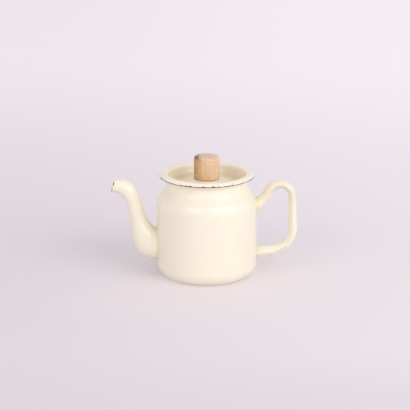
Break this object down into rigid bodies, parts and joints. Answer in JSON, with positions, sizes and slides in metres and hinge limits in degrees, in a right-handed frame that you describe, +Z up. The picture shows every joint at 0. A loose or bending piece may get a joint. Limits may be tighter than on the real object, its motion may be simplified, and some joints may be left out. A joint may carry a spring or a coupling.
{
  "type": "enamel teapot",
  "caption": "Small cream enamelled steel teapot with gooseneck spout, hollow loop handle and lift-off dished lid with a turned wooden knob.",
  "frame": {"origin": "centre of the flat base, on the body's axis", "axes": "+Z up along the body's axis, -X towards the spout, +X towards the handle"},
  "size_m": [0.1854, 0.1, 0.1217],
  "materials": {
    "enamel": "glossy cream vitreous enamel on thin drawn steel",
    "lid_enamel": "glossy cream vitreous enamel, chipped to dark steel along the brim",
    "knob_wood": "sanded pale hardwood, unlacquered",
    "insert_brass": "turned",
    "seal_silicone": "translucent white silicone",
    "fastener_steel": "stainless"
  },
  "bodies": {
    "pot": {"body_shell": "enamel", "spout_near_half": "enamel", "spout_far_half": "enamel", "handle_outer_half": "enamel", "handle_inner_half": "enamel"},
    "lid": {"lid_dish": "lid_enamel", "knob": "knob_wood", "knob_insert": "insert_brass", "seal_washer": "seal_silicone", "screw_washer": "fastener_steel", "knob_screw": "fastener_steel"}
  },
  "joints": [
    {"name": "lid_lift", "type": "slide", "parent": "pot", "child": "lid", "axis": [0, 0, 1], "range_m": [0, 0.06]}
  ]
}
